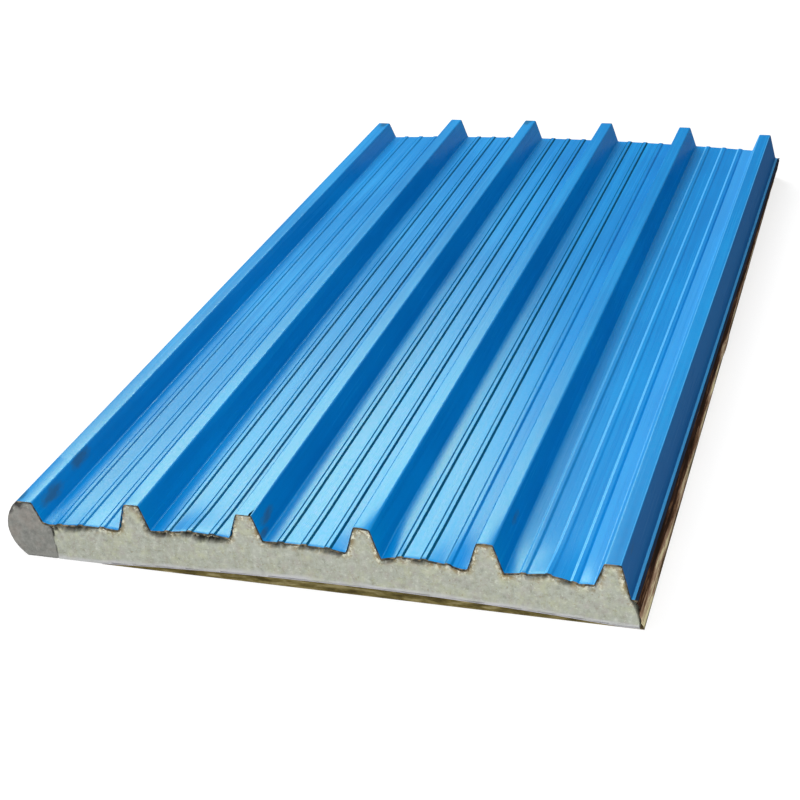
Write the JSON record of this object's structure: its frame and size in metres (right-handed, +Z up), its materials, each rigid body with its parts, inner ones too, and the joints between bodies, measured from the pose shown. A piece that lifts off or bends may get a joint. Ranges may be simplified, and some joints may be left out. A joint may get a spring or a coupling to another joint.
{
  "type": "insulated sandwich roof panel",
  "caption": "Insulated roof panel: ribbed blue steel sheet on a rigid foam core, with a bull-nosed foam edge strip, a pale lining sheet and a brown film round the underside and lap edge.",
  "frame": {"origin": "middle of the bottom of the panel's box, on the floor", "axes": "+Y along the panel's length, away from the cut front end; +X across it, towards the lap edge with the lip; +Z up through the ribs"},
  "size_m": [1.0869, 2, 0.127],
  "materials": {
    "prepainted_steel": "glossy polyester coil coating",
    "rigid_foam": "sawn rigid foam with brown flecks",
    "edge_foam": "dense smooth grey foam",
    "lining_sheet": "pale satin coating",
    "brown_film": "glossy wrinkled film"
  },
  "bodies": {
    "root": {"top_sheet": "prepainted_steel", "foam_core": "rigid_foam", "edge_nose": "edge_foam", "bottom_liner": "lining_sheet", "wrap_film": "brown_film"}
  },
  "joints": []
}
